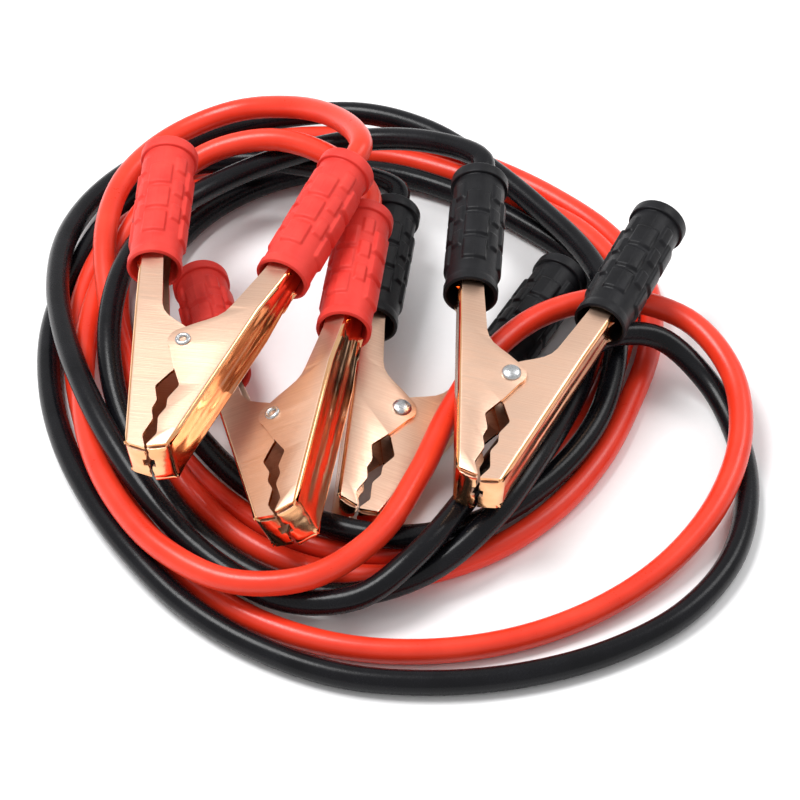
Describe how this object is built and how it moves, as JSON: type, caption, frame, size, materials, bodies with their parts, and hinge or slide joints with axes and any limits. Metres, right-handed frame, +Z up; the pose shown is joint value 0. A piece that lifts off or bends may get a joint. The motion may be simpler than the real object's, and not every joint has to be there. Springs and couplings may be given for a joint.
{
  "type": "jumper cable set",
  "caption": "Red and black booster leads in a loose coil, a copper-plated sprung clamp with a ribbed sleeve grip at each end.",
  "frame": {"origin": "on the floor under the middle of the four clamps' bounding box", "axes": "+Z up, +Y from the clamps' noses towards their grips, +X to the right as seen from the nose side"},
  "size_m": [0.269, 0.3124, 0.0759],
  "materials": {
    "copper": "satin brushed copper plating, mirror-like on the bends",
    "zinc": "bright zinc plating",
    "steel": "drawn spring wire",
    "red_sleeve": "matte soft PVC",
    "black_sleeve": "matte soft PVC",
    "red_cable": "semi-gloss PVC sheath",
    "black_cable": "semi-gloss PVC sheath"
  },
  "bodies": {
    "leads": {"red_clamp_1_outer_jaw": "copper", "red_clamp_1_rivet": "zinc", "red_clamp_1_spring": "steel", "red_clamp_1_outer_grip": "red_sleeve", "red_clamp_2_outer_jaw": "copper", "red_clamp_2_rivet": "zinc", "red_clamp_2_spring": "steel", "red_clamp_2_outer_grip": "red_sleeve", "black_clamp_1_outer_jaw": "copper", "black_clamp_1_rivet": "zinc", "black_clamp_1_spring": "steel", "black_clamp_1_outer_grip": "black_sleeve", "black_clamp_2_outer_jaw": "copper", "black_clamp_2_rivet": "zinc", "black_clamp_2_spring": "steel", "black_clamp_2_outer_grip": "black_sleeve", "red_cable": "red_cable", "black_cable": "black_cable"},
    "red_clamp_1_squeezed_half": {"red_clamp_1_inner_jaw": "copper", "red_clamp_1_inner_grip": "red_sleeve"},
    "red_clamp_2_squeezed_half": {"red_clamp_2_inner_jaw": "copper", "red_clamp_2_inner_grip": "red_sleeve"},
    "black_clamp_1_squeezed_half": {"black_clamp_1_inner_jaw": "copper", "black_clamp_1_inner_grip": "black_sleeve"},
    "black_clamp_2_squeezed_half": {"black_clamp_2_inner_jaw": "copper", "black_clamp_2_inner_grip": "black_sleeve"}
  },
  "joints": [
    {"name": "red_clamp_1_pivot", "type": "hinge", "parent": "leads", "child": "red_clamp_1_squeezed_half", "pos_m": [-0.08, -0.02246, 0.05188], "axis": [0.1233, 0.0694, -0.9899], "range_deg": [0, 24], "stiffness_Nm_per_rad": 2, "springref_deg": -45.84, "deforming": ["red_clamp_1_spring"]},
    {"name": "red_clamp_2_pivot", "type": "hinge", "parent": "leads", "child": "red_clamp_2_squeezed_half", "pos_m": [-0.0453, -0.04046, 0.03268], "axis": [0.4232, -0.009, -0.906], "range_deg": [0, 24], "stiffness_Nm_per_rad": 2, "springref_deg": -45.84, "deforming": ["red_clamp_2_spring"]},
    {"name": "black_clamp_1_pivot", "type": "hinge", "parent": "leads", "child": "black_clamp_1_squeezed_half", "pos_m": [-0.0048, -0.01746, 0.01348], "axis": [0.1764, -0.1023, 0.979], "range_deg": [0, 24], "stiffness_Nm_per_rad": 2, "springref_deg": -45.84, "deforming": ["black_clamp_1_spring"]},
    {"name": "black_clamp_2_pivot", "type": "hinge", "parent": "leads", "child": "black_clamp_2_squeezed_half", "pos_m": [0.0356, -0.02696, 0.03968], "axis": [0.0523, -0.0764, 0.9957], "range_deg": [0, 24], "stiffness_Nm_per_rad": 2, "springref_deg": -45.84, "deforming": ["black_clamp_2_spring"]}
  ]
}
